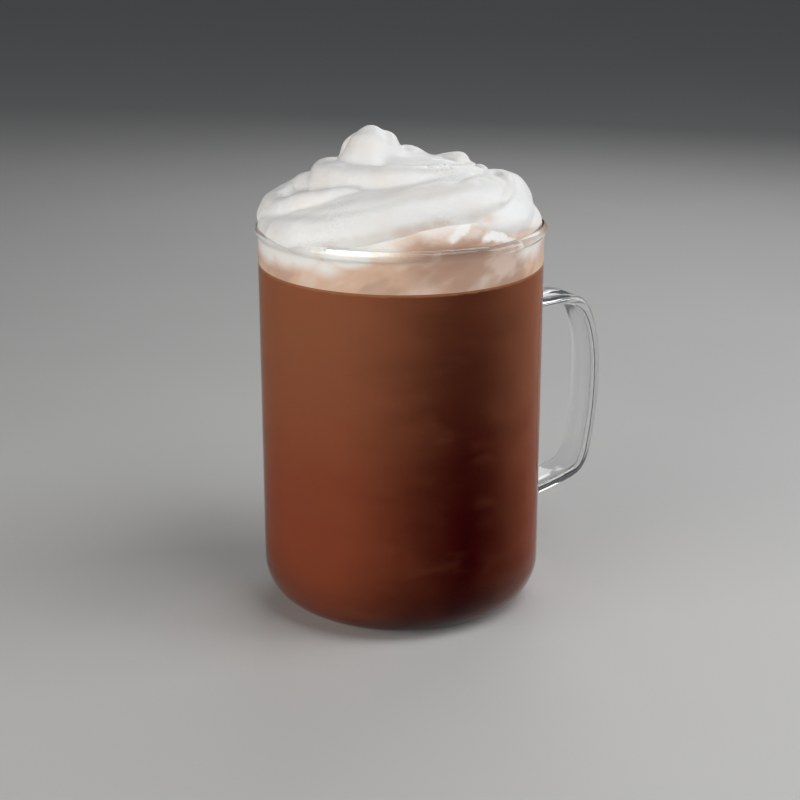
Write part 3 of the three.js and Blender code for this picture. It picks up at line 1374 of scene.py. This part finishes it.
    def _run_together(self, place: Vector) -> float:
        """How far the ropes have run together: hardly at the left, wholly at the right.

        Args:
            place: A place on the skin, in mm.

        Returns:
            The share of the smoothing there.
        """
        low, high = self.soft_from
        right = place.dot(seen(1, 0, 0) - seen(0, 0, 0))
        return min(1.0, max(self.soft_least, (right - low) / (high - low)))

    def _at_peak(self, place: Vector) -> float:
        """How far a place belongs to the peak, where the folds have sunk together.

        Args:
            place: A place on the skin, in mm.

        Returns:
            The share of the smoothing there.
        """
        full, gone = self.peak_zone
        gap = (place - seen(*self.peak)).length
        return min(1.0, max(0.0, (gone - gap) / (gone - full)))

    def build(self) -> None:
        """Lays the ropes, runs them together, sits them in the rim and dresses the swirl."""
        cream = self._laid(self._core(), self.flowing)
        self._soften(cream, self.soft_rounds, self._run_together)
        cream = self._laid(cream, self.folded)
        self._soften(cream, self.peak_rounds, self._at_peak)
        for size, height in self.lumps:
            lump(cream, size, height)
        finish(cream, Tool.SMOOTH, factor=SMOOTHING, iterations=self.crisp_rounds)
        join(cream, self.mug.rim_zone(self.bite, self.floor), Join.CUT)
        smooth(cream, self.crease)
        hand_over(cream, WhippedWhite().material(), "whipped_cream")


@dataclass(frozen=True)
class Softbox:
    """A soft studio light, placed from the camera's side: azimuth to the right, then elevation."""

    name: str
    azimuth: float
    elevation: float
    distance: float
    size: Pair
    power: float
    colour: Triple = (1, 1, 1)


@dataclass
class Studio:
    """The pale floor, the soft lights and the camera at the photo's angle."""

    azimuth: float = PHOTO_AZIMUTH
    pitch: float = 17.61
    distance: float = 508.5
    aim: float = 60.73
    lens: float = 76.6
    sensor: float = 36
    shift_pixels: float = -1
    floor_radius: float = 6000
    floor_drop: float = 0.2
    floor_sides: int = 96
    lights_aim: float = 90
    world: Rgba = (0.9, 0.95, 1, 1)
    world_strength: float = 0.08
    lights: tuple[Softbox, ...] = (
        Softbox("key", -45, 9, 800, (800, 450), 4.2, (1.0, 0.98, 0.955)),
        Softbox("edge", 88, 16, 700, (400, 440), 2.2, (0.96, 0.98, 1.0)),
        Softbox("lift", 50, 56, 650, (400, 350), 1.6, (0.98, 0.99, 1.0)),
        Softbox("back", 165, 30, 800, (600, 250), 1.2),
    )

    def _toward(self, azimuth: float, elevation: float) -> Vector:
        """The direction from the object to a place round it.

        Args:
            azimuth: Degrees to the right of the camera.
            elevation: Degrees over the floor.

        Returns:
            The direction, of length 1.
        """
        turn = math.radians(self.azimuth + azimuth)
        rise = math.radians(elevation)
        flat = math.cos(rise)
        return Vector((math.sin(turn) * flat, -math.cos(turn) * flat, math.sin(rise)))

    def floor(self) -> None:
        """Lays the floor."""
        deselect()
        bpy.ops.mesh.primitive_circle_add(
            vertices=self.floor_sides,
            radius=self.floor_radius * MM,
            fill_type="NGON",
            location=(0, 0, -self.floor_drop * MM),
        )
        floor = added("floor")
        bpy.ops.object.transform_apply(location=True, rotation=True, scale=True)
        floor.data.materials.append(PaleFloor().material())
        log.info("floor: stage")

    def light(self, box: Softbox) -> None:
        """Hangs one softbox, out of the camera's sight.

        Args:
            box: The softbox.
        """
        toward = self._toward(box.azimuth, box.elevation)
        aim = Vector((0, 0, self.lights_aim))
        bpy.ops.object.light_add(type="AREA", location=(aim + toward * box.distance) * MM)
        lamp = added(box.name)
        lamp.rotation_euler = (-toward).to_track_quat("-Z", "Y").to_euler()
        lamp.data.shape = "RECTANGLE"
        lamp.data.size = box.size[0] * MM
        lamp.data.size_y = box.size[1] * MM
        lamp.data.energy = box.power
        lamp.data.color = box.colour
        lamp.visible_camera = False
        log.info("light %s: %.1f W", box.name, box.power)

    def surround(self) -> None:
        """Sets the dim room and plain colours."""
        scene = bpy.context.scene
        scene.world = bpy.data.worlds.new("room")
        scene.world.use_nodes = True
        room = scene.world.node_tree.nodes["Background"].inputs
        room["Color"].default_value = self.world
        room["Strength"].default_value = self.world_strength
        scene.view_settings.view_transform = "Standard"
        scene.view_settings.look = "None"
        scene.cycles.use_denoising = True
        scene.cycles.blur_glossy = 0.0

    def camera(self) -> None:
        """Puts the camera where the photo was taken from."""
        toward = self._toward(0, self.pitch)
        place = Vector((0, 0, self.aim)) + toward * self.distance
        turn = (math.pi / 2 - math.radians(self.pitch), 0, math.radians(self.azimuth))
        bpy.ops.object.camera_add(location=place * MM, rotation=turn)
        camera = added("photo_camera")
        camera.data.lens = self.lens
        camera.data.sensor_width = self.sensor
        camera.data.shift_x = self.shift_pixels / PHOTO_WIDTH
        bpy.context.scene.camera = camera

    def build(self) -> None:
        """Makes the whole studio."""
        self.floor()
        for box in self.lights:
            self.light(box)
        self.surround()
        self.camera()


def main() -> None:
    """Builds the pieces in order."""
    logging.basicConfig(level=logging.INFO, format="%(name)s: %(message)s")
    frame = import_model()
    log.info("frame: %s", ", ".join(frame["nodes"]))
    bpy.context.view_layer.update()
    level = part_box("mocha")[1].z / MM
    mug = GlassMug()
    mug.build()
    MochaFill(mug, level).build()
    section = Piping().curve()
    FoamLayer(mug, level, section).build()
    CreamSwirl(mug, section).build()
    bpy.data.objects.remove(section)
    Studio().build()


if __name__ == "__main__":
    main()
